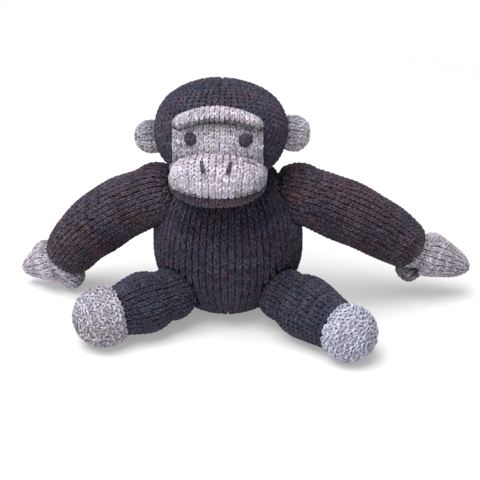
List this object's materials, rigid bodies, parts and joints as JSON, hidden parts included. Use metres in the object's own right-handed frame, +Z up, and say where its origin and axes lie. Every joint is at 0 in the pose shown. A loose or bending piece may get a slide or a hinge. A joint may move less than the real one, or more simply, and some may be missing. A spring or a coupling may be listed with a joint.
{
  "type": "knitted gorilla toy",
  "caption": "Knitted gorilla soft toy that sits, with a stuffed dark body, head and limbs sewn on so that they turn, and a pale knitted face, muzzle, ears, hands and feet.",
  "frame": {"origin": "middle of the flat seat, on the surface it sits on", "axes": "+Z up, the face looks along -Y, +X towards the toy's own left hand"},
  "size_m": [0.3701, 0.154, 0.195],
  "materials": {
    "dark_tweed": "charcoal tweed wool, stocking stitch",
    "pale_marl": "pale grey marl wool, knitted",
    "fibre": "loose white toy stuffing",
    "eye_yarn": "dark embroidery yarn"
  },
  "bodies": {
    "torso": {"body_cover": "dark_tweed", "body_stuffing": "fibre", "neck_seam": "dark_tweed", "left_shoulder_seam": "dark_tweed", "right_shoulder_seam": "dark_tweed", "left_hip_seam": "dark_tweed", "right_hip_seam": "dark_tweed"},
    "neck": {"neck_knot": "dark_tweed"},
    "head": {"head_cover": "dark_tweed", "head_stuffing": "fibre", "face_panel": "pale_marl", "brow_ridge": "pale_marl", "left_eye": "eye_yarn", "right_eye": "eye_yarn", "muzzle_cover": "pale_marl", "muzzle_stuffing": "fibre", "left_nostril": "eye_yarn", "right_nostril": "eye_yarn"},
    "left_ear": {"left_ear": "pale_marl"},
    "right_ear": {"right_ear": "pale_marl"},
    "left_shoulder": {"left_shoulder_knot": "dark_tweed"},
    "left_arm": {"left_arm_cover": "dark_tweed", "left_arm_stuffing": "fibre"},
    "left_hand": {"left_hand": "pale_marl", "left_thumb": "pale_marl"},
    "left_hip": {"left_hip_knot": "dark_tweed"},
    "left_leg": {"left_leg_cover": "dark_tweed", "left_leg_stuffing": "fibre", "left_foot_cover": "pale_marl"},
    "right_shoulder": {"right_shoulder_knot": "dark_tweed"},
    "right_arm": {"right_arm_cover": "dark_tweed", "right_arm_stuffing": "fibre"},
    "right_hand": {"right_hand": "pale_marl", "right_thumb": "pale_marl"},
    "right_hip": {"right_hip_knot": "dark_tweed"},
    "right_leg": {"right_leg_cover": "dark_tweed", "right_leg_stuffing": "fibre", "right_foot_cover": "pale_marl"}
  },
  "joints": [
    {"name": "neck_turn", "type": "hinge", "parent": "torso", "child": "neck", "pos_m": [-0.003, -0.004, 0.122], "axis": [0, 0, 1], "range_deg": [-25, 25]},
    {"name": "head_nod", "type": "hinge", "parent": "neck", "child": "head", "pos_m": [-0.003, -0.004, 0.122], "axis": [1, 0, 0], "range_deg": [-11, 3]},
    {"name": "left_ear_fold", "type": "hinge", "parent": "head", "child": "left_ear", "pos_m": [0.04888, -0.00817, 0.1545], "axis": [0, 0, -1], "range_deg": [-15, 20], "stiffness_Nm_per_rad": 0.003},
    {"name": "right_ear_fold", "type": "hinge", "parent": "head", "child": "right_ear", "pos_m": [-0.05828, -0.00162, 0.1495], "axis": [0, 0, 1], "range_deg": [-15, 20], "stiffness_Nm_per_rad": 0.003},
    {"name": "left_arm_swing", "type": "hinge", "parent": "torso", "child": "left_shoulder", "pos_m": [0.0555, 0.002, 0.09893], "axis": [0.9164, 0, 0.4003], "range_deg": [-25, 20]},
    {"name": "left_arm_raise", "type": "hinge", "parent": "left_shoulder", "child": "left_arm", "pos_m": [0.0555, 0.002, 0.09893], "axis": [0, -1, 0], "range_deg": [-4, 50]},
    {"name": "left_wrist_bend", "type": "hinge", "parent": "left_arm", "child": "left_hand", "pos_m": [0.14787, 0.01008, 0.04631], "axis": [-0.4057, -0.0355, -0.9133], "range_deg": [-12, 12]},
    {"name": "left_leg_spread", "type": "hinge", "parent": "torso", "child": "left_hip", "pos_m": [0.04442, -0.0327, 0.028], "axis": [0, 0, 1], "range_deg": [-12, 22]},
    {"name": "left_leg_lift", "type": "hinge", "parent": "left_hip", "child": "left_leg", "pos_m": [0.04442, -0.0327, 0.028], "axis": [-0.7133, -0.7009, 0], "range_deg": [-5, 28]},
    {"name": "right_arm_swing", "type": "hinge", "parent": "torso", "child": "right_shoulder", "pos_m": [-0.0555, 0.002, 0.09893], "axis": [0.9164, 0, -0.4003], "range_deg": [-25, 20]},
    {"name": "right_arm_raise", "type": "hinge", "parent": "right_shoulder", "child": "right_arm", "pos_m": [-0.0555, 0.002, 0.09893], "axis": [0, 1, 0], "range_deg": [-4, 50]},
    {"name": "right_wrist_bend", "type": "hinge", "parent": "right_arm", "child": "right_hand", "pos_m": [-0.13394, 0.0239, 0.03141], "axis": [-0.416, 0.1161, 0.9019], "range_deg": [-12, 12]},
    {"name": "right_leg_spread", "type": "hinge", "parent": "torso", "child": "right_hip", "pos_m": [-0.04442, -0.0327, 0.028], "axis": [0, 0, -1], "range_deg": [-25, 12]},
    {"name": "right_leg_lift", "type": "hinge", "parent": "right_hip", "child": "right_leg", "pos_m": [-0.04442, -0.0327, 0.028], "axis": [-0.454, 0.891, 0], "range_deg": [-5, 28]}
  ]
}
